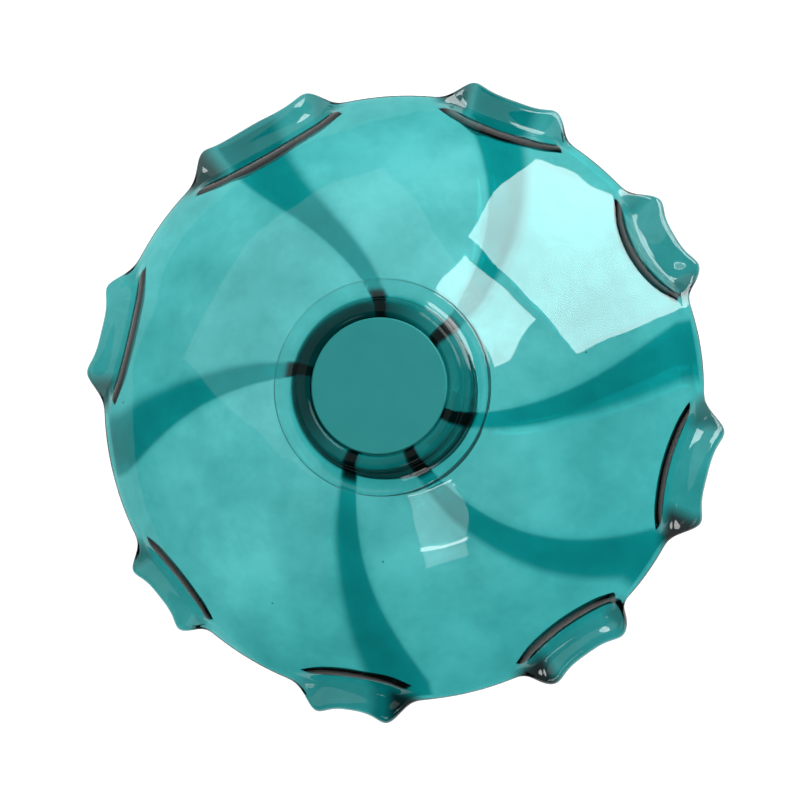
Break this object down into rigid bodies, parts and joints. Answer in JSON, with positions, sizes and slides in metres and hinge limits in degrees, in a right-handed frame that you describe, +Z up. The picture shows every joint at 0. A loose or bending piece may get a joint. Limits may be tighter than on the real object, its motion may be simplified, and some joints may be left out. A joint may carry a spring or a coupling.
{
  "type": "pin insulator",
  "caption": "Teal glass bell with swirled ribs and a crimped rim, clamped on a threaded steel pin under a flat cap that closes its neck.",
  "frame": {"origin": "centre of the crossarm seat face, the flat underside of the pin's collar, on the pin's axis", "axes": "+Z up along the pin towards the crown cap, shank along -Z; +X is the right of the bell as pictured, +Y its top"},
  "size_m": [0.232, 0.2298, 0.125],
  "materials": {
    "teal_glass": "clear, fire polished",
    "teal_enamel": "smooth satin enamel",
    "galvanised_steel": "hot-dip galvanised, dull",
    "zinc_steel": "zinc plated",
    "plated_steel": "bright zinc plated",
    "spring_steel": "dark, phosphated",
    "black_rubber": "matt",
    "nylon": "natural nylon"
  },
  "bodies": {
    "pin": {"insulator_pin": "galvanised_steel", "seat_flange": "zinc_steel", "lower_gasket": "black_rubber", "centring_bush": "nylon", "split_pin": "plated_steel"},
    "bell": {"glass_bell": "teal_glass", "upper_gasket": "black_rubber"},
    "cap": {"crown_cap": "teal_enamel"},
    "clamp_washers": {"clamp_washer": "zinc_steel", "clamp_spring_washer": "spring_steel"},
    "clamp_nut": {"clamp_nut": "plated_steel"},
    "arm_washers": {"crossarm_washer": "zinc_steel", "crossarm_spring_washer": "spring_steel"},
    "arm_nut": {"crossarm_nut": "plated_steel"}
  },
  "joints": [
    {"name": "bell_turn", "type": "hinge", "parent": "pin", "child": "bell", "pos_m": [0, 0, 0.0485], "axis": [0, 0, 1], "continuous": true},
    {"name": "cap_pull", "type": "slide", "parent": "pin", "child": "cap", "axis": [0, 0, 1], "range_m": [0, 0.012]},
    {"name": "clamp_lift", "type": "slide", "parent": "pin", "child": "clamp_washers", "axis": [0, 0, 1], "range_m": [0, 0.0025]},
    {"name": "clamp_nut_turn", "type": "hinge", "parent": "clamp_washers", "child": "clamp_nut", "pos_m": [0, 0, 0.06], "axis": [0, 0, 1], "range_deg": [0, 450]},
    {"name": "arm_lift", "type": "slide", "parent": "pin", "child": "arm_washers", "axis": [0, 0, 1], "range_m": [0, 0.018]},
    {"name": "arm_nut_turn", "type": "hinge", "parent": "arm_washers", "child": "arm_nut", "pos_m": [0, 0, -0.041], "axis": [0, 0, 1], "range_deg": [0, 3240]}
  ],
  "couplings": [
    {"joint": "clamp_nut_turn", "follows": "clamp_lift", "rad_per_m": 3141.6},
    {"joint": "arm_nut_turn", "follows": "arm_lift", "rad_per_m": 3141.6}
  ]
}
